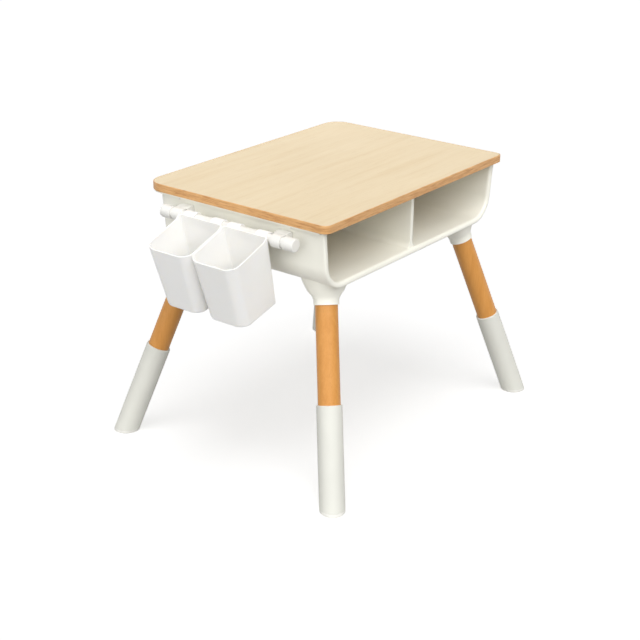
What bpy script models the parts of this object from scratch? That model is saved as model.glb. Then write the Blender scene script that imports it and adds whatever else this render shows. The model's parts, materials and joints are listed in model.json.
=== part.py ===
"""Kids table with an open-fronted storage tray under its top, four splayed legs
with pull-off extensions, and two bins that hang on a rail at its left side.

X runs along the open front, Y from the front to the back, Z up. The table is
laid out about the middle of its top, then moved along X so that the origin is
on the floor, at the middle of the whole object with its bins.
"""

from math import atan2, cos, pi, radians, sin, sqrt, tan

import bmesh
import bpy
from mathutils import Matrix, Vector

# Fits
FIT_GAP = 0.0003
RUNNING_GAP = 0.0004

# Top board
TABLE_HEIGHT = 0.500
TOP_OVERHANG_X = 0.011
TOP_OVERHANG_Y = 0.0125
TOP_THICKNESS = 0.014
TOP_FRONT_RADIUS = 0.014
TOP_BACK_RADIUS = 0.034
BAND_THICKNESS = 0.0014
BAND_ROUND = 0.0008

# Storage tray
TRAY_WIDTH = 0.548
TRAY_DEPTH = 0.380
TRAY_HEIGHT = 0.113
TRAY_WALL = 0.010
TRAY_SKIN = 0.0031
TRAY_DRAFT = radians(6.0)
TRAY_BOTTOM_RADIUS = 0.050
TRAY_BACK_RADIUS = 0.028
BEAD_DEPTH = 0.009
BEAD_STAND = 0.001
BEAD_ROUND = 0.003
LIP_ROUND = 0.006
FLANGE_THICKNESS = 0.003
FLANGE_SETBACK = 0.002
ARC_STEPS = 8
BACK_STEPS = 5

# Divider
DIVIDER_THICKNESS = 0.009
DIVIDER_SETBACK = 0.006
DIVIDER_FOOT_SPREAD = 0.009
DIVIDER_FOOT_HEIGHT = 0.0105

# Legs
LEG_DIAMETER = 0.040
LEG_TILT = radians(21.3)
LEG_BEARING = radians(43.8)
LEG_INSET_X = 0.0644
LEG_INSET_Y = 0.0432
LEG_CHAMFER = 0.001
SOCKET_WALL = 0.0021
SOCKET_DROP = 0.040
SOCKET_COLLAR = 0.009
SOCKET_DEPTH = 0.029
SOCKET_SPREAD_X = 0.046
SOCKET_SPREAD_Y = 0.043
SOCKET_RISE = 0.030
STUD_DIAMETER = 0.008
STUD_IN_LEG = 0.026
STUD_IN_SOCKET = 0.010
ROUND_SIDES = 32

# Leg extensions and feet
EXTENSION_DIAMETER = 0.046
EXTENSION_TOP = 0.172
EXTENSION_OVERLAP = 0.060
EXTENSION_LEDGE = 0.0025
EXTENSION_LEDGE_HEIGHT = 0.004
EXTENSION_CHAMFER = 0.0012
FOOT_HEIGHT = 0.006
FOOT_PLUG_LENGTH = 0.014

# Side rail
RAIL_DIAMETER = 0.018
RAIL_WALL = 0.0015
RAIL_STANDOFF = 0.0248
RAIL_DROP = 0.027
CAP_DIAMETER = 0.024
CAP_LENGTH = 0.0228
CAP_STANDOFF = 0.005
CAP_ROUND = 0.0025
CAP_PLUG_LENGTH = 0.012
BRACKET_DIAMETER = 0.0245
BRACKET_LENGTH = 0.019
BRACKET_CLEARANCE = 0.0027
BRACKET_RISE = 0.0065
ARM_OVERHANG = 0.0045
ARM_COVER = 0.0012
CATCH_THICKNESS = 0.0025
CATCH_WIDTH = 0.0105
CATCH_HEIGHT = 0.0081
NECK_HEIGHT = 0.0045
ENTRY_CLEARANCE = 0.001
RAIL_SIDES = 24

# Hanging bins
BIN_WIDTH = 0.0985
BIN_SPACING = 0.001
BIN_DEPTH = 0.1004
BIN_HEIGHT = 0.124
BIN_WALL = 0.0023
BIN_TILT = radians(14.4)
BIN_PLATE_RISE = 0.0095
BIN_SIDE_RISE = 0.0053
BIN_FRONT_DROP = 0.0028
BIN_SIDE_DRAFT = 0.006
BIN_FRONT_DRAFT = 0.008
BIN_BACK_DRAFT = 0.002
BIN_FRONT_RADIUS = 0.020
BIN_BACK_RADIUS = 0.005
BIN_BASE_ROUND = 0.004
BIN_BOW = 0.0045
HOOK_WIDTH = 0.024
HOOK_OFFSET = 0.031
HOOK_THICKNESS = 0.0025
HEEL_DROP = 0.022
HEEL_GAP = 0.0006

# Screws
SCREW_DIAMETER = 0.003
SCREW_HEAD_DIAMETER = 0.006
SCREW_HEAD_HEIGHT = 0.002
TOP_SCREW_LENGTH = 0.013
DIVIDER_SCREW_LENGTH = 0.026
TOP_SCREW_SIDE_Y = 0.125
TOP_SCREW_BACK_X = 0.150
DIVIDER_SCREW_Y = 0.100
SCREW_SIDES = 10

# Places worked out from the dimensions above
TOP_WIDTH = TRAY_WIDTH + 2 * TOP_OVERHANG_X
TOP_DEPTH = TRAY_DEPTH + 2 * TOP_OVERHANG_Y
TOP_UNDERSIDE = TABLE_HEIGHT - TOP_THICKNESS
TRAY_TOP = TOP_UNDERSIDE - FIT_GAP
TRAY_BOTTOM = TOP_UNDERSIDE - TRAY_HEIGHT
TRAY_FLOOR = TRAY_BOTTOM + TRAY_WALL
TRAY_FRONT_Y = -TRAY_DEPTH / 2
TRAY_BACK_Y = TRAY_DEPTH / 2
LEG_RADIUS = LEG_DIAMETER / 2
BORE_RADIUS = LEG_RADIUS + FIT_GAP
EXTENSION_RADIUS = EXTENSION_DIAMETER / 2
EXTENSION_BORE = LEG_RADIUS + RUNNING_GAP
RAIL_RADIUS = RAIL_DIAMETER / 2
BRACKET_START = BIN_SPACING / 2 + BIN_WIDTH + BRACKET_CLEARANCE
RAIL_LENGTH = 2 * (BRACKET_START + BRACKET_LENGTH + CAP_STANDOFF + CAP_LENGTH)
SLOT_ENTRY = CATCH_WIDTH + ENTRY_CLEARANCE
ARM_WIDTH = SLOT_ENTRY + CATCH_WIDTH + 3 * FIT_GAP + 2 * ARM_COVER
ARM_HEIGHT = CATCH_HEIGHT + 2 * ARM_COVER
RAIL_Z = TOP_UNDERSIDE - RAIL_DROP
CORNERS = {
    "front_left": (-1, -1),
    "front_right": (1, -1),
    "back_left": (-1, 1),
    "back_right": (1, 1),
}


def wall_reach(z, inset=0.0):
    """Distance from the middle plane to a surface inside the tray's outer skin."""
    return TRAY_WIDTH / 2 - inset / cos(TRAY_DRAFT) - tan(TRAY_DRAFT) * (TOP_UNDERSIDE - z)


RAIL_X = -(wall_reach(RAIL_Z) + RAIL_STANDOFF)


# Scene, materials and small helpers

def clear_scene():
    for item in list(bpy.data.objects):
        bpy.data.objects.remove(item, do_unlink=True)


def make_material(name, color, roughness, metallic=0.0):
    material = bpy.data.materials.new(name)
    material.use_nodes = True
    shader = material.node_tree.nodes["Principled BSDF"]
    shader.inputs["Base Color"].default_value = (*color, 1.0)
    shader.inputs["Roughness"].default_value = roughness
    shader.inputs["Metallic"].default_value = metallic
    return material


def make_materials():
    return {
        "board": make_material("board_laminate", (0.78, 0.62, 0.41), 0.45),
        "band": make_material("edge_band", (0.60, 0.27, 0.07), 0.50),
        "plastic": make_material("white_plastic", (0.84, 0.83, 0.79), 0.42),
        "bin": make_material("bin_plastic", (0.86, 0.85, 0.82), 0.50),
        "wood": make_material("leg_wood", (0.56, 0.24, 0.05), 0.45),
        "rubber": make_material("foot_rubber", (0.78, 0.77, 0.73), 0.80),
        "steel": make_material("screw_steel", (0.55, 0.55, 0.56), 0.35, 1.0),
    }


def make_object(name, bm, material, parent, matrix=None):
    """Turn a bmesh into a shaded object under its parent."""
    bmesh.ops.recalc_face_normals(bm, faces=bm.faces)
    mesh = bpy.data.meshes.new(name)
    bm.to_mesh(mesh)
    bm.free()
    mesh.shade_smooth()
    mesh.set_sharp_from_angle(angle=radians(35))
    if material is not None:
        mesh.materials.append(material)
    return place(name, mesh, parent, matrix)


def place(name, mesh, parent, matrix=None):
    """Put an object with this mesh in the scene."""
    item = bpy.data.objects.new(name, mesh)
    bpy.context.collection.objects.link(item)
    item.parent = parent
    if matrix is not None:
        item.matrix_local = matrix
    return item


def make_empty(name, parent, matrix=None):
    return place(name, None, parent, matrix)


def use_as_tool(target, tool, operation):
    """Add or cut a hidden tool object with an exact Boolean."""
    tool.hide_render = True
    tool.display_type = "WIRE"
    modifier = target.modifiers.new(tool.name, "BOOLEAN")
    modifier.operation = operation
    modifier.solver = "EXACT"
    modifier.object = tool


def loft(bm, rings, cyclic=False):
    """Skin closed rings of equal length, with end caps unless it is cyclic."""
    rows = [[bm.verts.new(point) for point in ring] for ring in rings]
    pairs = list(zip(rows, rows[1:]))
    if cyclic:
        pairs.append((rows[-1], rows[0]))
    for lower, upper in pairs:
        for i in range(len(lower)):
            j = (i + 1) % len(lower)
            bm.faces.new((lower[i], lower[j], upper[j], upper[i]))
    if not cyclic:
        bm.faces.new(rows[0])
        bm.faces.new(rows[-1])


def lofted(rings, cyclic=False):
    bm = bmesh.new()
    loft(bm, rings, cyclic)
    return bm


def circle(radius, height, sides=ROUND_SIDES):
    return [
        (radius * cos(2 * pi * i / sides), radius * sin(2 * pi * i / sides), height)
        for i in range(sides)
    ]


def turned(profile, sides=ROUND_SIDES):
    """Turn a profile of (radius, height) pairs whose ends lie off the axis."""
    return lofted([circle(radius, height, sides) for radius, height in profile])


def turned_tube(profile, sides=ROUND_SIDES):
    """Turn a closed profile that goes round a bore."""
    return lofted([circle(radius, height, sides) for radius, height in profile], True)


def arc(centre, radius, start, end, steps):
    """Points of an arc in a plane, both ends included."""
    return [
        (
            centre[0] + radius * cos(start + (end - start) * i / steps),
            centre[1] + radius * sin(start + (end - start) * i / steps),
        )
        for i in range(steps + 1)
    ]


def plate_outline(width, depth, front_radius, back_radius, front_y=None):
    """Counter-clockwise outline with its own front and back corner radii."""
    x = width / 2
    back = depth / 2
    front = -depth / 2 if front_y is None else front_y
    corners = (
        (x - front_radius, front + front_radius, front_radius, -pi / 2),
        (x - back_radius, back - back_radius, back_radius, 0.0),
        (-x + back_radius, back - back_radius, back_radius, pi / 2),
        (-x + front_radius, front + front_radius, front_radius, pi),
    )
    points = []
    for cx, cy, radius, start in corners:
        points += arc((cx, cy), radius, start, start + pi / 2, 6)
    return points


def at_height(outline, z):
    return [(x, y, z) for x, y in outline]


def prism(outline, low, high):
    return lofted([at_height(outline, low), at_height(outline, high)])


def extruded_along_y(outline, low, high):
    """Extrude an outline of (x, z) pairs along Y."""
    return lofted([[(x, y, z) for x, z in outline] for y in (low, high)])


# Top board

def board_outline(inset):
    return plate_outline(
        TOP_WIDTH - 2 * inset,
        TOP_DEPTH - 2 * inset,
        TOP_FRONT_RADIUS - inset,
        TOP_BACK_RADIUS - inset,
    )


def top_screw_places():
    """Screw axes through the flange: two on each side and two at the back."""
    side_x = (TRAY_WIDTH / 2 + TOP_WIDTH / 2 - FLANGE_SETBACK) / 2
    back_y = (TRAY_BACK_Y + TOP_DEPTH / 2 - FLANGE_SETBACK) / 2
    return {
        "left_front": (-side_x, -TOP_SCREW_SIDE_Y),
        "left_back": (-side_x, TOP_SCREW_SIDE_Y),
        "right_front": (side_x, -TOP_SCREW_SIDE_Y),
        "right_back": (side_x, TOP_SCREW_SIDE_Y),
        "back_left": (-TOP_SCREW_BACK_X, back_y),
        "back_right": (TOP_SCREW_BACK_X, back_y),
    }


def screw_hole(name, x, y, low, high, parent):
    radius = SCREW_DIAMETER / 2 + FIT_GAP
    bore = turned([(radius, low), (radius, high)], SCREW_SIDES)
    return make_object(name, bore, None, parent, Matrix.Translation((x, y, 0)))


def build_top(materials, root):
    core = prism(board_outline(BAND_THICKNESS + FIT_GAP), TOP_UNDERSIDE, TABLE_HEIGHT)
    board = make_object("top_board", core, materials["board"], root)
    tip = TRAY_TOP - FLANGE_THICKNESS + TOP_SCREW_LENGTH + FIT_GAP
    for name, (x, y) in top_screw_places().items():
        hole = screw_hole("pilot_" + name, x, y, TOP_UNDERSIDE - BAND_THICKNESS, tip, root)
        use_as_tool(board, hole, "DIFFERENCE")

    rings = [
        at_height(board_outline(0.0), TOP_UNDERSIDE),
        at_height(board_outline(0.0), TABLE_HEIGHT - BAND_ROUND),
        at_height(board_outline(BAND_ROUND), TABLE_HEIGHT),
        at_height(board_outline(BAND_THICKNESS), TABLE_HEIGHT),
        at_height(board_outline(BAND_THICKNESS), TOP_UNDERSIDE),
    ]
    make_object("top_edge_band", lofted(rings, True), materials["band"], root)


# Storage tray

def tray_section(inset, y, top):
    """U section of the tray, a distance inside its outer skin, closed at the top."""
    centre_z = TRAY_BOTTOM + TRAY_BOTTOM_RADIUS
    drop = TOP_UNDERSIDE - centre_z
    centre_x = TRAY_WIDTH / 2 - (TRAY_BOTTOM_RADIUS + sin(TRAY_DRAFT) * drop) / cos(TRAY_DRAFT)
    radius = TRAY_BOTTOM_RADIUS - inset
    top_x = wall_reach(top, inset)
    right = [(top_x, top)] + arc((centre_x, centre_z), radius, -TRAY_DRAFT, -pi / 2, ARC_STEPS)
    left = [(-x, z) for x, z in reversed(right)]
    return [(x, y, z) for x, z in right + left]


def back_turn(inset):
    """Inset and Y of the sections that round the tray into its back wall."""
    radius = TRAY_BACK_RADIUS - inset
    start_y = TRAY_BACK_Y - TRAY_BACK_RADIUS
    steps = [i * pi / 2 / BACK_STEPS for i in range(BACK_STEPS + 1)]
    return [(inset + radius * (1 - cos(a)), start_y + radius * sin(a)) for a in steps]


def front_round(inset, radius, turn):
    """Inset and Y round one front edge of the tray; turn is -1 outside, 1 inside."""
    steps = [i * pi / 8 for i in range(5)]
    return [
        (inset - turn * radius * (1 - sin(a)), TRAY_FRONT_Y + radius * (1 - cos(a)))
        for a in steps
    ]


def tray_body():
    """Solid outer form: bead, side walls and back, without the hollow."""
    top = TRAY_TOP - FLANGE_THICKNESS / 2
    bead_back = TRAY_FRONT_Y + BEAD_DEPTH
    places = front_round(-BEAD_STAND, BEAD_ROUND, -1)
    places += [(-BEAD_STAND, bead_back), (0.0, bead_back + BEAD_STAND)]
    places += back_turn(0.0)
    return lofted([tray_section(inset, y, top) for inset, y in places])


def tray_hollow():
    """The space inside, open past the front and the top, with a rounded front lip."""
    top = TRAY_TOP + TRAY_WALL
    places = [(TRAY_WALL - LIP_ROUND, TRAY_FRONT_Y - TRAY_WALL)]
    places += front_round(TRAY_WALL, LIP_ROUND, 1)
    places += back_turn(TRAY_WALL)
    return lofted([tray_section(inset, y, top) for inset, y in places])


def skin_gap():
    """The space between the two skins of the sides and floor, open under the board."""
    top = TRAY_TOP + TRAY_SKIN
    ends = (TRAY_FRONT_Y + BEAD_DEPTH + TRAY_SKIN, TRAY_BACK_Y - TRAY_BACK_RADIUS)
    rings = []
    for y in ends:
        outer = tray_section(TRAY_SKIN, y, top)
        inner = tray_section(TRAY_WALL - TRAY_SKIN, y, top)
        rings.append(outer + list(reversed(inner)))
    return lofted(rings)


def flange_plate():
    outline = plate_outline(
        TOP_WIDTH - 2 * FLANGE_SETBACK,
        TOP_DEPTH - 2 * FLANGE_SETBACK,
        BEAD_ROUND,
        TOP_BACK_RADIUS - FLANGE_SETBACK,
        TRAY_FRONT_Y + BEAD_ROUND,
    )
    return prism(outline, TRAY_TOP - FLANGE_THICKNESS, TRAY_TOP)


def leg_base(corner):
    """Where a leg's axis meets the floor."""
    sx, sy = corner
    run = TRAY_BOTTOM * tan(LEG_TILT)
    x = TRAY_WIDTH / 2 - LEG_INSET_X + run * cos(LEG_BEARING)
    y = TRAY_DEPTH / 2 - LEG_INSET_Y + run * sin(LEG_BEARING)
    return Vector((sx * x, sy * y, 0.0))


def leg_frame(corner):
    """Origin on the floor, Z up the leg's axis, X in the plane of its tilt."""
    sx, sy = corner
    bearing = atan2(sy * sin(LEG_BEARING), sx * cos(LEG_BEARING))
    turn = Matrix.Rotation(bearing, 4, "Z") @ Matrix.Rotation(-LEG_TILT, 4, "Y")
    return Matrix.Translation(leg_base(corner)) @ turn


def along_leg(z):
    """Distance up the leg's axis at a height above the floor."""
    return z / cos(LEG_TILT)


SOCKET_MOUTH = along_leg(TRAY_BOTTOM - SOCKET_DROP)
LEG_TOP = SOCKET_MOUTH + SOCKET_DEPTH - FIT_GAP
LEG_BOTTOM = along_leg(EXTENSION_TOP) - EXTENSION_OVERLAP


def socket_boss(corner):
    """Collar round the leg that flares into the tray's lower corner."""
    frame = leg_frame(corner)
    sx, sy = corner
    collar = SOCKET_MOUTH + SOCKET_COLLAR
    radius = LEG_RADIUS + FIT_GAP + SOCKET_WALL
    rim_z = TRAY_BOTTOM + SOCKET_RISE
    rim_centre = frame @ Vector((0, 0, along_leg(rim_z)))

    def corner_point(angle, spread, z):
        """Point of a rounded square that follows the tray's corner."""
        c, s = cos(angle), sin(angle)
        power = 2 / 3.2
        return Vector((
            rim_centre.x + SOCKET_SPREAD_X * spread * abs(c) ** power * (1 if c > 0 else -1),
            rim_centre.y + SOCKET_SPREAD_Y * spread * abs(s) ** power * (1 if s > 0 else -1),
            z,
        ))

    bearing = atan2(sy * sin(LEG_BEARING), sx * cos(LEG_BEARING))
    angles = [2 * pi * i / ROUND_SIDES for i in range(ROUND_SIDES)]
    around = [(radius * cos(a - bearing), radius * sin(a - bearing)) for a in angles]
    low = [frame @ Vector((x, y, SOCKET_MOUTH)) for x, y in around]
    high = [frame @ Vector((x, y, collar)) for x, y in around]
    wide = [corner_point(a, 1.0, rim_z) for a in angles]
    rings = [low, high]
    for share, ease in ((0.10, 0.10), (0.22, 0.36), (0.45, 0.62), (0.72, 0.83)):
        rings.append([
            Vector((*(h.xy.lerp(w.xy, ease)), h.z + (w.z - h.z) * share))
            for h, w in zip(high, wide)
        ])
    rings.append(wide)
    rings.append([corner_point(a, 0.86, rim_z + TRAY_WALL) for a in angles])
    return lofted(rings)


def leg_bore():
    """Blind bore for the leg, with the stud's hole beyond it."""
    stud = STUD_DIAMETER / 2 + FIT_GAP
    end = SOCKET_MOUTH + SOCKET_DEPTH
    return turned([
        (BORE_RADIUS, SOCKET_MOUTH - SOCKET_COLLAR),
        (BORE_RADIUS, end),
        (stud, end),
        (stud, end + STUD_IN_SOCKET + FIT_GAP),
    ])


def bracket_slots():
    """Keyholes in the left wall: a tall entry, then a neck, both behind the arm."""
    slots = {}
    z = RAIL_Z + BRACKET_RISE
    low_x = -wall_reach(z) - TRAY_WALL
    high_x = -wall_reach(z) + 2 * TRAY_WALL
    for end, middle in bracket_middles().items():
        step_y = catch_start(middle) - FIT_GAP
        entry = CATCH_HEIGHT / 2 + FIT_GAP
        neck = NECK_HEIGHT / 2 + FIT_GAP
        neck_end = step_y + CATCH_WIDTH + 3 * FIT_GAP
        outline = [
            (step_y - SLOT_ENTRY, z - entry),
            (step_y, z - entry),
            (step_y, z - neck),
            (neck_end, z - neck),
            (neck_end, z + neck),
            (step_y, z + neck),
            (step_y, z + entry),
            (step_y - SLOT_ENTRY, z + entry),
        ]
        slots[end] = lofted([[(x, y, height) for y, height in outline] for x in (low_x, high_x)])
    return slots


def divider_screw_places():
    return {"front": -DIVIDER_SCREW_Y, "back": DIVIDER_SCREW_Y}


def build_tray(materials, root):
    tray = make_object("storage_tray", tray_body(), materials["plastic"], root)
    use_as_tool(tray, make_object("flange_form", flange_plate(), None, root), "UNION")
    for name, corner in CORNERS.items():
        boss = make_object("socket_form_" + name, socket_boss(corner), None, root)
        use_as_tool(tray, boss, "UNION")
    use_as_tool(tray, make_object("hollow_form", tray_hollow(), None, root), "DIFFERENCE")
    use_as_tool(tray, make_object("skin_gap_form", skin_gap(), None, root), "DIFFERENCE")
    for name, corner in CORNERS.items():
        bore = make_object("bore_form_" + name, leg_bore(), None, root, leg_frame(corner))
        use_as_tool(tray, bore, "DIFFERENCE")
    for name, slot in bracket_slots().items():
        use_as_tool(tray, make_object("slot_form_" + name, slot, None, root), "DIFFERENCE")
    for name, (x, y) in top_screw_places().items():
        low, high = TRAY_TOP - 2 * FLANGE_THICKNESS, TRAY_TOP + FLANGE_THICKNESS
        use_as_tool(tray, screw_hole("hole_" + name, x, y, low, high, root), "DIFFERENCE")
    for name, y in divider_screw_places().items():
        low, high = TRAY_BOTTOM - TRAY_WALL, TRAY_FLOOR + TRAY_WALL
        use_as_tool(tray, screw_hole("floor_hole_" + name, 0.0, y, low, high, root), "DIFFERENCE")
    return tray


def divider_section(y, low, trim):
    """Upright with a flared foot; trim rounds its front edge."""
    half = DIVIDER_THICKNESS / 2 - trim
    high = TRAY_TOP
    foot = [
        (half + DIVIDER_FOOT_SPREAD * (1 - sin(a)), low + DIVIDER_FOOT_HEIGHT * (1 - cos(a)))
        for a in (0.0, pi / 6, pi / 3, pi / 2)
    ]
    right = [(half, high)] + list(reversed(foot))
    left = [(-x, z) for x, z in reversed(right)]
    return [(x, y, z) for x, z in right + left]


def build_divider(materials, root):
    """The upright follows the floor and the rounded lower edge of the back wall."""
    floor = TRAY_FLOOR + FIT_GAP
    front = TRAY_FRONT_Y + DIVIDER_SETBACK
    trim = DIVIDER_THICKNESS / 4
    rings = [
        divider_section(front, floor, trim),
        divider_section(front + trim * 0.3, floor, trim * 0.3),
        divider_section(front + trim, floor, 0.0),
    ]
    for inset, y in back_turn(TRAY_WALL + FIT_GAP):
        rings.append(divider_section(y, TRAY_BOTTOM + inset, 0.0))
    divider = make_object("tray_divider", lofted(rings), materials["plastic"], root)
    tip = TRAY_BOTTOM + DIVIDER_SCREW_LENGTH + FIT_GAP
    for name, y in divider_screw_places().items():
        hole = screw_hole("divider_pilot_" + name, 0.0, y, TRAY_BOTTOM, tip, root)
        use_as_tool(divider, hole, "DIFFERENCE")


# Legs

def leg_mesh():
    stud = STUD_DIAMETER / 2 + FIT_GAP
    edge = LEG_RADIUS - LEG_CHAMFER
    return turned([
        (edge, LEG_BOTTOM),
        (LEG_RADIUS, LEG_BOTTOM + LEG_CHAMFER),
        (LEG_RADIUS, LEG_TOP - LEG_CHAMFER),
        (edge, LEG_TOP),
        (stud, LEG_TOP),
        (stud, LEG_TOP - STUD_IN_LEG),
    ])


def stud_mesh():
    radius = STUD_DIAMETER / 2
    tip = radius * 0.75
    low = LEG_TOP - STUD_IN_LEG + FIT_GAP
    high = LEG_TOP + STUD_IN_SOCKET
    step = radius - tip
    return turned([(tip, low), (radius, low + step), (radius, high - step), (tip, high)], SCREW_SIDES)


def level_ring(radius, z, sides=ROUND_SIDES):
    """Section of an upright tube of the leg by a level plane, in the leg's frame."""
    points = []
    for i in range(sides):
        x = radius * cos(2 * pi * i / sides)
        y = radius * sin(2 * pi * i / sides)
        points.append((x, y, (z - x * sin(LEG_TILT)) / cos(LEG_TILT)))
    return points


def extension_mesh():
    """Sleeve with a ledge in its bore for the leg's end, cut level above the foot."""
    rim = along_leg(EXTENSION_TOP)
    ledge = LEG_BOTTOM - RUNNING_GAP
    core = EXTENSION_BORE - EXTENSION_LEDGE
    cut = FOOT_HEIGHT + FIT_GAP
    rings = [
        level_ring(EXTENSION_BORE, cut),
        level_ring(EXTENSION_RADIUS, cut),
        circle(EXTENSION_RADIUS, rim - EXTENSION_CHAMFER),
        circle(EXTENSION_RADIUS - EXTENSION_CHAMFER, rim),
        circle(EXTENSION_BORE, rim),
        circle(EXTENSION_BORE, ledge),
        circle(core, ledge),
        circle(core, ledge - EXTENSION_LEDGE_HEIGHT),
        circle(EXTENSION_BORE, ledge - EXTENSION_LEDGE_HEIGHT),
    ]
    return lofted(rings, True)


def foot_mesh():
    """Level pad with a plug that fills the end of the sleeve."""
    plug = EXTENSION_BORE - FIT_GAP
    plug_top = along_leg(FOOT_HEIGHT) + FOOT_PLUG_LENGTH
    rings = [
        level_ring(EXTENSION_RADIUS - EXTENSION_CHAMFER, 0.0),
        level_ring(EXTENSION_RADIUS, EXTENSION_CHAMFER),
        level_ring(EXTENSION_RADIUS, FOOT_HEIGHT),
        level_ring(plug, FOOT_HEIGHT),
        circle(plug, plug_top),
    ]
    return lofted(rings)


def build_legs(materials, root):
    shared = {}
    parts = (
        ("leg", leg_mesh, "wood"),
        ("leg_stud", stud_mesh, "steel"),
        ("leg_extension", extension_mesh, "plastic"),
        ("foot_pad", foot_mesh, "rubber"),
    )
    for name, corner in CORNERS.items():
        axis = make_empty("axis_" + name, root, leg_frame(corner))
        for part, make_mesh, slot in parts:
            label = part + "_" + name
            if part in shared:
                place(label, shared[part], axis)
            else:
                shared[part] = make_object(label, make_mesh(), materials[slot], axis).data


# Side rail

def bracket_middles():
    """Y of the middle of each bracket's arm."""
    reach = BRACKET_START - ARM_OVERHANG + ARM_WIDTH / 2
    return {"front": -reach, "back": reach}


def catch_start(middle):
    """Lower Y of the catch behind an arm; the keyhole's entry lies on that side."""
    return middle - ARM_WIDTH / 2 + ARM_COVER + SLOT_ENTRY + FIT_GAP


def rail_axis_matrix(y=0.0, turn=1):
    """Z of the piece along Y of the table, from a place on the rail's axis."""
    return Matrix.Translation((RAIL_X, y, RAIL_Z)) @ Matrix.Rotation(-turn * pi / 2, 4, "X")


def rail_rod_mesh():
    half = RAIL_LENGTH / 2 - CAP_ROUND
    inner = RAIL_RADIUS - RAIL_WALL
    profile = [(RAIL_RADIUS, -half), (RAIL_RADIUS, half), (inner, half), (inner, -half)]
    return turned_tube(profile, RAIL_SIDES)


def rail_cap_mesh():
    """Cap over the rod's end with a plug in the rod's bore."""
    radius = CAP_DIAMETER / 2
    bore = RAIL_RADIUS + FIT_GAP
    plug = RAIL_RADIUS - RAIL_WALL - FIT_GAP
    seat = -CAP_ROUND + FIT_GAP
    edge = CAP_ROUND * (1 - sqrt(0.5))
    return turned([
        (plug, -CAP_PLUG_LENGTH),
        (plug, seat),
        (bore, seat),
        (bore, -CAP_LENGTH),
        (radius - edge, -CAP_LENGTH),
        (radius, -CAP_LENGTH + edge),
        (radius, -CAP_ROUND),
        (radius - edge, -edge),
        (radius - CAP_ROUND, 0.0),
    ], RAIL_SIDES)


def arm_outline():
    """From the sleeve's wall up to the tray's sloping wall, in X and Z."""
    z = RAIL_Z + BRACKET_RISE
    high, low = z + ARM_HEIGHT / 2, z - ARM_HEIGHT / 2
    radius = BRACKET_DIAMETER / 2
    bore = RAIL_RADIUS + FIT_GAP
    root_x = RAIL_X + bore + FIT_GAP
    return [
        (root_x, RAIL_Z - ARM_HEIGHT / 2),
        (-wall_reach(low, -FIT_GAP), low),
        (-wall_reach(high, -FIT_GAP), high),
        (-wall_reach(high, -RAIL_WALL), high + RAIL_WALL),
        (RAIL_X + bore / 2, RAIL_Z + radius - FIT_GAP * 3),
        (root_x, RAIL_Z + bore * 0.6),
    ]


def catch_outline():
    """Neck through the wall and the catch behind it, in X and Z."""
    z = RAIL_Z + BRACKET_RISE
    neck, catch = NECK_HEIGHT / 2, CATCH_HEIGHT / 2
    behind = TRAY_WALL + FIT_GAP
    back = behind + CATCH_THICKNESS
    outline = [(-RAIL_WALL * 2, -neck), (behind, -neck), (behind, -catch), (back, -catch),
               (back, catch), (behind, catch), (behind, neck), (-RAIL_WALL * 2, neck)]
    return [(-wall_reach(z + dz, inset), z + dz) for inset, dz in outline]


def build_bracket(end, middle, materials, root):
    """Sleeve on the rod, an arm up to the wall, and a catch behind the wall."""
    side = -1 if end == "front" else 1
    centre = side * (BRACKET_START + BRACKET_LENGTH / 2)
    radius = BRACKET_DIAMETER / 2
    bore = RAIL_RADIUS + FIT_GAP
    half = BRACKET_LENGTH / 2
    edge = FIT_GAP * 3
    profile = [(radius - edge, -half), (radius, -half + edge), (radius, half - edge),
               (radius - edge, half), (bore, half), (bore, -half)]
    sleeve = make_object("rail_bracket_" + end, turned_tube(profile, RAIL_SIDES),
                         materials["plastic"], root, rail_axis_matrix(centre))
    arm = extruded_along_y(arm_outline(), middle - ARM_WIDTH / 2, middle + ARM_WIDTH / 2)
    use_as_tool(sleeve, make_object("arm_form_" + end, arm, None, root), "UNION")
    catch_y = catch_start(middle)
    catch = extruded_along_y(catch_outline(), catch_y, catch_y + CATCH_WIDTH)
    use_as_tool(sleeve, make_object("catch_form_" + end, catch, None, root), "UNION")


def build_rail(materials, root):
    plastic = materials["plastic"]
    make_object("rail_rod", rail_rod_mesh(), plastic, root, rail_axis_matrix())
    end_y = RAIL_LENGTH / 2
    cap = make_object("rail_end_cap_back", rail_cap_mesh(), plastic, root, rail_axis_matrix(end_y))
    place("rail_end_cap_front", cap.data, root, rail_axis_matrix(-end_y, -1))
    for end, middle in bracket_middles().items():
        build_bracket(end, middle, materials, root)


# Hanging bins, laid out about the rail's axis: X away from the table, Y along the rail

def bin_outline(inset, drop):
    """Rounded outline of the bin at a depth below its rim, a distance inside."""
    depth = drop / BIN_HEIGHT
    back = RAIL_RADIUS + RUNNING_GAP + BIN_BACK_DRAFT * depth + inset
    front = RAIL_RADIUS + RUNNING_GAP + BIN_DEPTH - BIN_FRONT_DRAFT * depth - inset
    half = BIN_WIDTH / 2 - BIN_SIDE_DRAFT * depth - inset
    front_radius = BIN_FRONT_RADIUS - inset
    back_radius = max(BIN_BACK_RADIUS - inset, BIN_BACK_RADIUS / 5)
    side_start = back + back_radius
    side_length = front - front_radius - side_start
    side = [side_start + side_length * share for share in (0.1, 0.2, 0.32, 0.6)]
    right = arc((back + back_radius, half - back_radius), back_radius, pi, pi / 2, 3)
    right += [(x, half) for x in side]
    right += arc((front - front_radius, half - front_radius), front_radius, pi / 2, 0.0, 5)
    bowed = []
    for x, y in right:
        reach = max(0.0, (x - front + front_radius) / front_radius)
        bowed.append((x - BIN_BOW * reach * (y / half) ** 2, y))
    left = [(x, -y) for x, y in reversed(bowed)]
    return bowed + left


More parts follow.
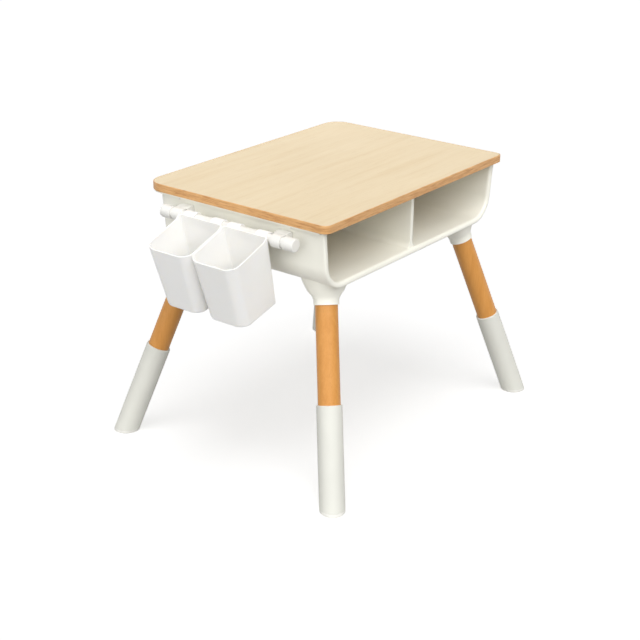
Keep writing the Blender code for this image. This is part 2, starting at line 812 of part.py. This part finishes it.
def rim_height(x):
    """The rim slopes down to the front and sweeps up to the back plate."""
    back = RAIL_RADIUS + RUNNING_GAP
    reach = min(1.0, max(0.0, (x - back) / BIN_DEPTH))
    lift = min(1.0, max(0.0, (0.14 - reach) / 0.09))
    side = BIN_SIDE_RISE - (BIN_SIDE_RISE + BIN_FRONT_DROP) * max(0.0, reach - 0.14) / 0.86
    return side + (BIN_PLATE_RISE - BIN_SIDE_RISE) * lift ** 2 * (3 - 2 * lift)


def bin_ring(inset, drop, rim=False):
    return [(x, y, rim_height(x) if rim else -drop) for x, y in bin_outline(inset, drop)]


def bin_shell():
    """Open shell with a rounded base edge and a wall of even thickness."""
    top = BIN_FRONT_DROP + BIN_BACK_RADIUS
    base = [(BIN_BASE_ROUND * (1 - sin(a)), BIN_HEIGHT - BIN_BASE_ROUND * (1 - cos(a)))
            for a in (0.0, pi / 6, pi / 3, pi / 2)]
    rings = [bin_ring(inset, drop) for inset, drop in base]
    rings.append(bin_ring(0.0, top))
    rings.append(bin_ring(0.0, 0.0, True))
    rings.append(bin_ring(BIN_WALL, 0.0, True))
    rings.append(bin_ring(BIN_WALL, top))
    rings += [bin_ring(BIN_WALL + inset * 0.6, drop - BIN_WALL) for inset, drop in reversed(base)]
    return lofted(rings)


def heel_reach():
    """How far behind the rail's axis a hook's heel goes to rest on the wall."""
    slope = tan(TRAY_DRAFT)
    height = TOP_UNDERSIDE - RAIL_Z + cos(BIN_TILT) * HEEL_DROP
    gap_x = -TRAY_WIDTH / 2 + slope * height - HEEL_GAP - RAIL_X - sin(BIN_TILT) * HEEL_DROP
    return gap_x / (cos(BIN_TILT) + slope * sin(BIN_TILT))


def hook_outline():
    """Strip from the back plate over the rail and down to its heel, in X and Z."""
    inner = RAIL_RADIUS + RUNNING_GAP
    outer = inner + HOOK_THICKNESS
    reach = heel_reach()
    over_out = arc((0.0, 0.0), outer, 0.0, pi, 8)
    over_in = arc((0.0, 0.0), inner, pi, 0.0, 8)
    knee = HEEL_DROP * 0.35
    behind = [
        (-outer, -knee),
        (-reach, -HEEL_DROP + HOOK_THICKNESS),
        (-reach, -HEEL_DROP),
        (-reach + HOOK_THICKNESS, -HEEL_DROP - HOOK_THICKNESS / 2),
        (-inner, -knee - HOOK_THICKNESS / 2),
    ]
    root = HOOK_THICKNESS * 2
    low_out, low_in = (outer - HOOK_THICKNESS / 3, -root), (inner + HOOK_THICKNESS / 4, -root)
    return [low_out] + over_out + behind + over_in + [low_in]


def bin_frame(y):
    """On the rail's axis, X away from the table and tipped down by the tilt."""
    turn = Matrix.Rotation(pi, 4, "Z") @ Matrix.Rotation(BIN_TILT, 4, "Y")
    return Matrix.Translation((RAIL_X, y, RAIL_Z)) @ turn


def build_bins(materials, root):
    places = {"front": -1, "back": 1}
    for end, side in places.items():
        middle = side * (BIN_WIDTH + BIN_SPACING) / 2
        axis = make_empty("bin_axis_" + end, root, bin_frame(middle))
        item = make_object("bin_" + end, bin_shell(), materials["bin"], axis)
        for label, offset in (("near", -HOOK_OFFSET), ("far", HOOK_OFFSET)):
            low, high = offset - HOOK_WIDTH / 2, offset + HOOK_WIDTH / 2
            strip = extruded_along_y(hook_outline(), low, high)
            hook = make_object("hook_form_" + end + "_" + label, strip, None, axis)
            use_as_tool(item, hook, "UNION")


# Screws

def screw_mesh(length):
    """Pan head below, shank and tip above, with the head's face at height 0."""
    shank = SCREW_DIAMETER / 2
    head = SCREW_HEAD_DIAMETER / 2
    return turned([
        (head * 0.7, -SCREW_HEAD_HEIGHT),
        (head, -SCREW_HEAD_HEIGHT * 0.4),
        (head, 0.0),
        (shank, 0.0),
        (shank, length - shank),
        (shank * 0.35, length),
    ], SCREW_SIDES)


def build_screws(materials, root):
    steel = materials["steel"]
    shared = None
    for name, (x, y) in top_screw_places().items():
        matrix = Matrix.Translation((x, y, TRAY_TOP - FLANGE_THICKNESS - FIT_GAP))
        label = "top_screw_" + name
        if shared is None:
            shared = make_object(label, screw_mesh(TOP_SCREW_LENGTH), steel, root, matrix).data
        else:
            place(label, shared, root, matrix)
    shared = None
    for name, y in divider_screw_places().items():
        matrix = Matrix.Translation((0.0, y, TRAY_BOTTOM - FIT_GAP))
        label = "divider_screw_" + name
        if shared is None:
            shared = make_object(label, screw_mesh(DIVIDER_SCREW_LENGTH), steel, root, matrix).data
        else:
            place(label, shared, root, matrix)


def centre_on_floor(root):
    """Move the table along X until the whole object is centred on the origin."""
    bpy.context.view_layer.update()
    low, high = 1.0, -1.0
    for item in bpy.data.objects:
        if item.type == "MESH" and not item.hide_render:
            for corner in item.data.vertices:
                x = (item.matrix_world @ corner.co).x
                low, high = min(low, x), max(high, x)
    root.location.x = -(low + high) / 2


def main():
    clear_scene()
    materials = make_materials()
    root = make_empty("kids_table", None)
    build_top(materials, root)
    build_tray(materials, root)
    build_divider(materials, root)
    build_legs(materials, root)
    build_rail(materials, root)
    build_bins(materials, root)
    build_screws(materials, root)
    centre_on_floor(root)


main()
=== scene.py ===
import json
from math import cos, radians, sin

import bmesh
import bpy
from mathutils import Matrix, Vector


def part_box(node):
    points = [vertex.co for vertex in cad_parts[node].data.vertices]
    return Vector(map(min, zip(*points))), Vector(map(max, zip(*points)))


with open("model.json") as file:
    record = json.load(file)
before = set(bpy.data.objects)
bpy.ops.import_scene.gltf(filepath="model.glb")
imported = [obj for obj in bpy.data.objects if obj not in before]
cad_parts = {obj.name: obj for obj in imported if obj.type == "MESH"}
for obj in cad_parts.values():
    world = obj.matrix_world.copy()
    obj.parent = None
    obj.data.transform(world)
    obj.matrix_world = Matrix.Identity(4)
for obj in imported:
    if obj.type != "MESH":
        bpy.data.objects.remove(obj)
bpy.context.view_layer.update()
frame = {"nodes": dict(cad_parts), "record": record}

nodes = frame["nodes"]
record = frame["record"]

# Camera, placed about the middle of the table's top
CAMERA_OFFSET = Vector((-1.9398, -1.4257, 1.2035))
CAMERA_AZIMUTH = radians(-53.297)
CAMERA_ELEVATION = radians(22.831)
CAMERA_ROLL = radians(0.940)
CAMERA_LENS = 75.33
SENSOR_WIDTH = 36.0

# Surround: its light on the object, and the white that is seen of it
WORLD_STRENGTH = 0.13
WORLD_SEEN = 1.0

# Five broad lights, each with its strength, spread and direction.
# Only the overhead light reaches the floor, so the object has one soft shadow, under it.
LAMP_DISTANCE = 2.0
OVERHEAD_LIGHT = "overhead_light"
LIGHTS = {
    OVERHEAD_LIGHT: (0.80, radians(36), (-0.24, -0.18, 1.0)),
    "front_left_light": (1.76, radians(50), (-0.50, -0.60, 0.62)),
    "left_light": (1.15, radians(60), (-1.0, 0.15, 0.35)),
    "front_light": (0.80, radians(50), (0.10, -0.92, 0.84)),
    "back_right_light": (0.50, radians(60), (0.55, 0.65, 0.45)),
}

# Floor: what it sends back to the object, and what is seen of it
FLOOR_SIZE = 14.0
FLOOR_BOUNCE = 1.00
FLOOR_SEEN = 1.00
FLOOR_WHITE = 0.65

# Colours of the plastics and the feet
TRAY_WHITE = (0.941, 0.927, 0.835)
# The leg extensions use the tray's white plastic made darker. This is painted shade that dims their
# fully lit faces.
EXTENSION_WHITE_PAINTED_SHADE = (0.690, 0.688, 0.630)
RAIL_WHITE = (0.827, 0.819, 0.782)
BIN_WHITE = (0.968, 0.956, 0.919)
FOOT_GREY = (0.770, 0.760, 0.715)

# Light, middle and dark tones of the grain
BOARD_TONES = ((0.727, 0.589, 0.372), (0.715, 0.572, 0.355), (0.696, 0.544, 0.328))
BAND_TONES = ((0.748, 0.432, 0.181), (0.666, 0.360, 0.138), (0.524, 0.249, 0.081))
LEG_TONES = ((0.666, 0.310, 0.078), (0.636, 0.288, 0.067), (0.589, 0.256, 0.055))

# Shine of the surfaces
PLASTIC_IOR = 1.48
BOARD_SPECULAR = 0.30
LEG_SPECULAR = 0.35

# Light that sinks into the bins' thin walls: its share, depth and reach in red, green and blue
BIN_SOFTNESS = 0.6
BIN_DEPTH = 0.003
SOFT_REACH = (1.0, 0.95, 0.85)

# Smooth shading of the solids: edges steeper than this angle stay sharp
SHARP_ANGLE = radians(34)
WELD_DISTANCE = 0.00001
FACE_AREA_WEIGHT = 50

UNTINTED = (1.0, 1.0, 1.0)
UNSCALED = (1.0, 1.0, 1.0)


def middle_of(node):
    low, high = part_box(node)
    return (low + high) / 2


top_middle = middle_of("top_board")


# Materials

class Shade:
    """Builds a node material about its own Principled shader."""

    def __init__(self, name, color, roughness, metallic=0.0):
        self.material = bpy.data.materials.new(name)
        self.material.use_nodes = True
        self.tree = self.material.node_tree
        self.shader = self.tree.nodes["Principled BSDF"]
        self.shader.inputs["Base Color"].default_value = (*color, 1.0)
        self.shader.inputs["Roughness"].default_value = roughness
        self.shader.inputs["Metallic"].default_value = metallic
        self.coordinates = self.tree.nodes.new("ShaderNodeTexCoord")
        self.material.diffuse_color = (*color, 1.0)

    def node(self, kind, **inputs):
        made = self.tree.nodes.new(kind)
        for name, value in inputs.items():
            made.inputs[name.replace("_", " ")].default_value = value
        return made

    def link(self, out, into):
        self.tree.links.new(out, into)

    def stretched(self, scale, rotation=(0.0, 0.0, 0.0)):
        """Object coordinates scaled along each axis, to draw grain out along one of them."""
        mapping = self.node("ShaderNodeMapping")
        mapping.inputs["Scale"].default_value = scale
        mapping.inputs["Rotation"].default_value = rotation
        self.link(self.coordinates.outputs["Object"], mapping.inputs["Vector"])
        return mapping.outputs["Vector"]

    def noise(self, vector, scale, detail, roughness, distortion=0.0):
        made = self.node("ShaderNodeTexNoise", Scale=scale, Detail=detail, Roughness=roughness,
                         Distortion=distortion)
        self.link(vector, made.inputs["Vector"])
        return made.outputs["Fac"]

    def ramp(self, value, stops):
        made = self.node("ShaderNodeValToRGB")
        elements = made.color_ramp.elements
        while len(elements) < len(stops):
            elements.new(0.5)
        for element, (position, color) in zip(elements, stops):
            element.position = position
            element.color = (*color, 1.0)
        self.link(value, made.inputs["Fac"])
        return made.outputs["Color"]

    def range(self, value, low, high, new_low, new_high):
        made = self.node("ShaderNodeMapRange")
        limits = {"From Min": low, "From Max": high, "To Min": new_low, "To Max": new_high}
        for name, number in limits.items():
            made.inputs[name].default_value = number
        self.link(value, made.inputs["Value"])
        return made.outputs["Result"]

    def multiply(self, share, first, second):
        """first tinted by a share of second."""
        made = self.tree.nodes.new("ShaderNodeMix")
        made.data_type = "RGBA"
        made.blend_type = "MULTIPLY"
        factor, first_color, second_color = made.inputs[0], made.inputs[6], made.inputs[7]
        factor.default_value = share
        self.link(first, first_color)
        self.link(second, second_color)
        return made.outputs[2]

    def add(self, first, second, share):
        """first plus a share of second."""
        made = self.tree.nodes.new("ShaderNodeMath")
        made.operation = "MULTIPLY_ADD"
        made.inputs[1].default_value = share
        self.link(second, made.inputs[0])
        self.link(first, made.inputs[2])
        return made.outputs[0]

    def bump(self, height, distance, strength=1.0):
        made = self.node("ShaderNodeBump", Strength=strength, Distance=distance)
        self.link(height, made.inputs["Height"])
        self.link(made.outputs["Normal"], self.shader.inputs["Normal"])

    def color_from(self, output):
        self.link(output, self.shader.inputs["Base Color"])

    def roughness_from(self, output):
        self.link(output, self.shader.inputs["Roughness"])


def tint(color, factor):
    return tuple(min(1.0, value * factor) for value in color)


def moulded_plastic(name, color, roughness, texture=0.00006, softness=0.0):
    """Moulded plastic: faint clouding, a fine spark-eroded skin and slow waves in its gloss."""
    shade = Shade(name, color, roughness)
    plain = shade.stretched(UNSCALED)
    cloud = shade.noise(plain, 9.0, 3.0, 0.55)
    shade.color_from(shade.ramp(cloud, [(0.30, tint(color, 0.972)), (0.70, tint(color, 1.018))]))
    shade.roughness_from(shade.range(shade.noise(plain, 26.0, 4.0, 0.6), 0.3, 0.7,
                                     roughness - 0.05, roughness + 0.06))
    skin = shade.noise(plain, 1500.0, 2.0, 0.5)
    wave = shade.noise(plain, 34.0, 2.0, 0.4)
    shade.bump(shade.add(skin, wave, 2.2), texture)
    shade.shader.inputs["IOR"].default_value = PLASTIC_IOR
    if softness:
        shade.shader.inputs["Subsurface Weight"].default_value = softness
        shade.shader.inputs["Subsurface Radius"].default_value = SOFT_REACH
        shade.shader.inputs["Subsurface Scale"].default_value = BIN_DEPTH
    return shade.material


def board_laminate():
    """Pale beech laminate: long soft bands along X, short pores and a slow change of tone."""
    light, middle, dark = BOARD_TONES
    shade = Shade("board_laminate", middle, 0.46)
    shade.shader.inputs["Specular IOR Level"].default_value = BOARD_SPECULAR
    bands = shade.noise(shade.stretched((0.9, 16.0, 8.0)), 4.0, 6.0, 0.62, 0.35)
    grain = shade.ramp(bands, [(0.30, dark), (0.46, middle), (0.68, light)])
    cloud = shade.noise(shade.stretched((1.0, 2.2, 1.0)), 3.2, 3.0, 0.5)
    tone = shade.ramp(cloud, [(0.30, (0.955, 0.945, 0.930)), (0.70, UNTINTED)])
    color = shade.multiply(1.0, grain, tone)
    pores = shade.noise(shade.stretched((26.0, 520.0, 200.0)), 1.0, 3.0, 0.6)
    pore_tone = shade.ramp(pores, [(0.33, (0.84, 0.78, 0.70)), (0.44, UNTINTED)])
    shade.color_from(shade.multiply(0.40, color, pore_tone))
    shade.roughness_from(shade.range(bands, 0.3, 0.7, 0.47, 0.38))
    shade.bump(pores, 0.00004, 0.6)
    return shade.material


def edge_band():
    """Brown edge band with long mottled streaks."""
    light, middle, dark = BAND_TONES
    shade = Shade("edge_band", middle, 0.45)
    streaks = shade.noise(shade.stretched((14.0, 14.0, 150.0)), 2.4, 5.0, 0.65, 0.3)
    color = shade.ramp(streaks, [(0.36, dark), (0.50, middle), (0.64, light)])
    fine = shade.noise(shade.stretched((90.0, 90.0, 900.0)), 1.6, 3.0, 0.6)
    tone = shade.ramp(fine, [(0.34, (0.90, 0.87, 0.84)), (0.52, UNTINTED)])
    shade.color_from(shade.multiply(0.7, color, tone))
    shade.roughness_from(shade.range(streaks, 0.3, 0.7, 0.50, 0.40))
    shade.bump(fine, 0.00005, 0.6)
    return shade.material


def leg_wood(name, tilt_axis):
    """Varnished round wood: grain drawn out along the leg, with a fine vertical figure."""
    light, middle, dark = LEG_TONES
    shade = Shade(name, middle, 0.40)
    shade.shader.inputs["Specular IOR Level"].default_value = LEG_SPECULAR
    turn = tilt_axis.rotation_difference(Vector((0, 0, 1))).to_euler()
    grain = shade.noise(shade.stretched((70.0, 70.0, 3.2), turn), 1.5, 5.0, 0.62, 0.5)
    color = shade.ramp(grain, [(0.28, dark), (0.50, middle), (0.74, light)])
    fine = shade.noise(shade.stretched((620.0, 620.0, 22.0), turn), 1.0, 3.0, 0.6)
    tone = shade.ramp(fine, [(0.32, (0.86, 0.80, 0.74)), (0.50, UNTINTED)])
    shade.color_from(shade.multiply(0.45, color, tone))
    shade.roughness_from(shade.range(grain, 0.3, 0.7, 0.44, 0.34))
    shade.bump(fine, 0.00006, 0.5)
    return shade.material


def screw_steel():
    """Zinc-plated steel with turning marks and a few dull patches."""
    shade = Shade("screw_steel", (0.60, 0.60, 0.62), 0.34, 1.0)
    marks = shade.noise(shade.stretched((60.0, 60.0, 1800.0)), 1.0, 3.0, 0.6)
    patches = shade.noise(shade.stretched(UNSCALED), 260.0, 3.0, 0.5)
    shade.color_from(shade.ramp(patches, [(0.30, (0.50, 0.50, 0.51)), (0.70, (0.68, 0.68, 0.69))]))
    shade.roughness_from(shade.range(patches, 0.3, 0.7, 0.42, 0.28))
    shade.bump(marks, 0.00003, 0.8)
    return shade.material


materials = {
    "board_laminate": board_laminate(),
    "edge_band": edge_band(),
    "white_plastic": moulded_plastic("white_plastic", TRAY_WHITE, 0.42),
    "extension_plastic_painted_shade": moulded_plastic("extension_plastic_painted_shade", EXTENSION_WHITE_PAINTED_SHADE, 0.42),
    "rail_plastic": moulded_plastic("rail_plastic", RAIL_WHITE, 0.38),
    "bin_plastic": moulded_plastic("bin_plastic", BIN_WHITE, 0.46, 0.00004, BIN_SOFTNESS),
    "foot_rubber": moulded_plastic("foot_rubber", FOOT_GREY, 0.62, 0.00010),
    "screw_steel": screw_steel(),
}


def leg_axis(leg):
    """Direction up a leg, from the middle of its foot to the middle of its top."""
    pad = middle_of(leg.replace("leg_", "foot_pad_", 1))
    wood = middle_of(leg)
    return (wood - pad).normalized()


for node in record["subparts"]:
    slot = node["material_slot"]
    name = node["node"]
    if slot == "leg_wood":
        chosen = leg_wood("leg_wood_" + name.replace("leg_", "", 1), leg_axis(name))
    elif name.startswith("leg_extension"):
        # The leg extensions get the darkened copy of the tray's white, which is painted shade on the
        # same plastic.
        chosen = materials["extension_plastic_painted_shade"]
    elif name.startswith("rail"):
        chosen = materials["rail_plastic"]
    else:
        chosen = materials[slot]
    data = nodes[name].data
    if not data.materials:
        data.materials.append(chosen)
    for index in range(len(data.materials)):
        data.materials[index] = chosen


# Shading of the carried-over solids

def smoothing_group(angle):
    """Geometry nodes that join split corners and shade smooth across shallow edges."""
    group = bpy.data.node_groups.new("smooth_by_angle", "GeometryNodeTree")
    group.interface.new_socket("Geometry", in_out="INPUT", socket_type="NodeSocketGeometry")
    group.interface.new_socket("Geometry", in_out="OUTPUT", socket_type="NodeSocketGeometry")
    source = group.nodes.new("NodeGroupInput")
    result = group.nodes.new("NodeGroupOutput")
    joined = group.nodes.new("GeometryNodeMergeByDistance")
    joined.inputs["Distance"].default_value = WELD_DISTANCE
    smooth = group.nodes.new("GeometryNodeSetShadeSmooth")
    edge_angle = group.nodes.new("GeometryNodeInputMeshEdgeAngle")
    steep = group.nodes.new("FunctionNodeCompare")
    steep.data_type = "FLOAT"
    steep.operation = "GREATER_THAN"
    steep.inputs["B"].default_value = angle
    sharp = group.nodes.new("GeometryNodeSetShadeSmooth")
    sharp.domain = "EDGE"
    sharp.inputs["Shade Smooth"].default_value = False
    links = group.links
    links.new(source.outputs[0], joined.inputs["Geometry"])
    links.new(joined.outputs["Geometry"], smooth.inputs["Geometry"])
    links.new(smooth.outputs["Geometry"], sharp.inputs["Geometry"])
    links.new(edge_angle.outputs["Unsigned Angle"], steep.inputs["A"])
    links.new(steep.outputs["Result"], sharp.inputs["Selection"])
    links.new(sharp.outputs["Geometry"], result.inputs[0])
    return group


smoothing = smoothing_group(SHARP_ANGLE)
for item in nodes.values():
    modifier = item.modifiers.new("smooth_by_angle", "NODES")
    modifier.node_group = smoothing
    weighted = item.modifiers.new("weighted_normal", "WEIGHTED_NORMAL")
    weighted.mode = "FACE_AREA"
    weighted.weight = FACE_AREA_WEIGHT
    weighted.keep_sharp = True


# Floor, light and camera

def camera_ray_share(tree):
    """1 for what the camera, a reflection or a clear material sees, and 0 for light on the object."""
    path = tree.nodes.new("ShaderNodeLightPath")
    seen = path.outputs["Is Camera Ray"]
    for name in ("Is Glossy Ray", "Is Transmission Ray"):
        both = tree.nodes.new("ShaderNodeMath")
        both.operation = "MAXIMUM"
        tree.links.new(seen, both.inputs[0])
        tree.links.new(path.outputs[name], both.inputs[1])
        seen = both.outputs[0]
    return seen


def make_floor():
    bm = bmesh.new()
    bmesh.ops.create_grid(bm, x_segments=1, y_segments=1, size=FLOOR_SIZE / 2)
    mesh = bpy.data.meshes.new("floor")
    bm.to_mesh(mesh)
    bm.free()
    floor = bpy.data.objects.new("floor", mesh)
    bpy.context.scene.collection.objects.link(floor)
    material = bpy.data.materials.new("floor")
    material.use_nodes = True
    tree = material.node_tree
    shader = tree.nodes["Principled BSDF"]
    shader.inputs["Roughness"].default_value = 1.0
    shader.inputs["Specular IOR Level"].default_value = 0.0
    shader.inputs["Emission Color"].default_value = (1.0, 1.0, 1.0, 1.0)
    seen = camera_ray_share(tree)
    levels = {"Base Color": (FLOOR_BOUNCE, FLOOR_SEEN), "Emission Strength": (0.0, FLOOR_WHITE)}
    for socket, (sent_back, shown) in levels.items():
        level = tree.nodes.new("ShaderNodeMapRange")
        level.inputs["To Min"].default_value = sent_back
        level.inputs["To Max"].default_value = shown
        tree.links.new(seen, level.inputs["Value"])
        tree.links.new(level.outputs["Result"], shader.inputs[socket])
    mesh.materials.append(material)
    return floor


def unlit_floor(floor):
    """Collection of receivers for a light that reaches everything but the floor."""
    receivers = bpy.data.collections.new("all_but_the_floor")
    receivers.objects.link(floor)
    receivers.collection_objects[0].light_linking.link_state = "EXCLUDE"
    return receivers


def make_world():
    world = bpy.data.worlds.new("studio")
    bpy.context.scene.world = world
    world.use_nodes = True
    tree = world.node_tree
    background = tree.nodes["Background"]
    background.inputs["Color"].default_value = (1.0, 1.0, 1.0, 1.0)
    strength = tree.nodes.new("ShaderNodeMapRange")
    strength.inputs["To Min"].default_value = WORLD_STRENGTH
    strength.inputs["To Max"].default_value = WORLD_SEEN
    tree.links.new(camera_ray_share(tree), strength.inputs["Value"])
    tree.links.new(strength.outputs["Result"], background.inputs["Strength"])


def make_sun(name, strength, spread, direction):
    lamp = bpy.data.lights.new(name, "SUN")
    lamp.energy = strength
    lamp.angle = spread
    item = bpy.data.objects.new(name, lamp)
    bpy.context.scene.collection.objects.link(item)
    item.location = Vector(direction) * LAMP_DISTANCE
    item.rotation_euler = Vector(direction).to_track_quat("Z", "Y").to_euler()
    return item


def make_camera():
    azimuth, elevation = CAMERA_AZIMUTH, CAMERA_ELEVATION
    back = Vector((sin(azimuth) * cos(elevation), -cos(azimuth) * cos(elevation), sin(elevation)))
    right = Vector((cos(azimuth), sin(azimuth), 0.0))
    up = back.cross(right)
    rolled_right = cos(CAMERA_ROLL) * right + sin(CAMERA_ROLL) * up
    rolled_up = cos(CAMERA_ROLL) * up - sin(CAMERA_ROLL) * right
    camera = bpy.data.cameras.new("camera")
    camera.lens = CAMERA_LENS
    camera.sensor_width = SENSOR_WIDTH
    item = bpy.data.objects.new("camera", camera)
    bpy.context.scene.collection.objects.link(item)
    matrix = Matrix((rolled_right, rolled_up, back)).transposed().to_4x4()
    matrix.translation = Vector((top_middle.x, 0.0, 0.0)) + CAMERA_OFFSET
    item.matrix_world = matrix
    bpy.context.scene.camera = item


side_receivers = unlit_floor(make_floor())
make_world()
for light_name, (strength, spread, direction) in LIGHTS.items():
    sun = make_sun(light_name, strength, spread, direction)
    if light_name != OVERHEAD_LIGHT:
        sun.light_linking.receiver_collection = side_receivers
make_camera()
bpy.context.scene.view_settings.view_transform = "Standard"
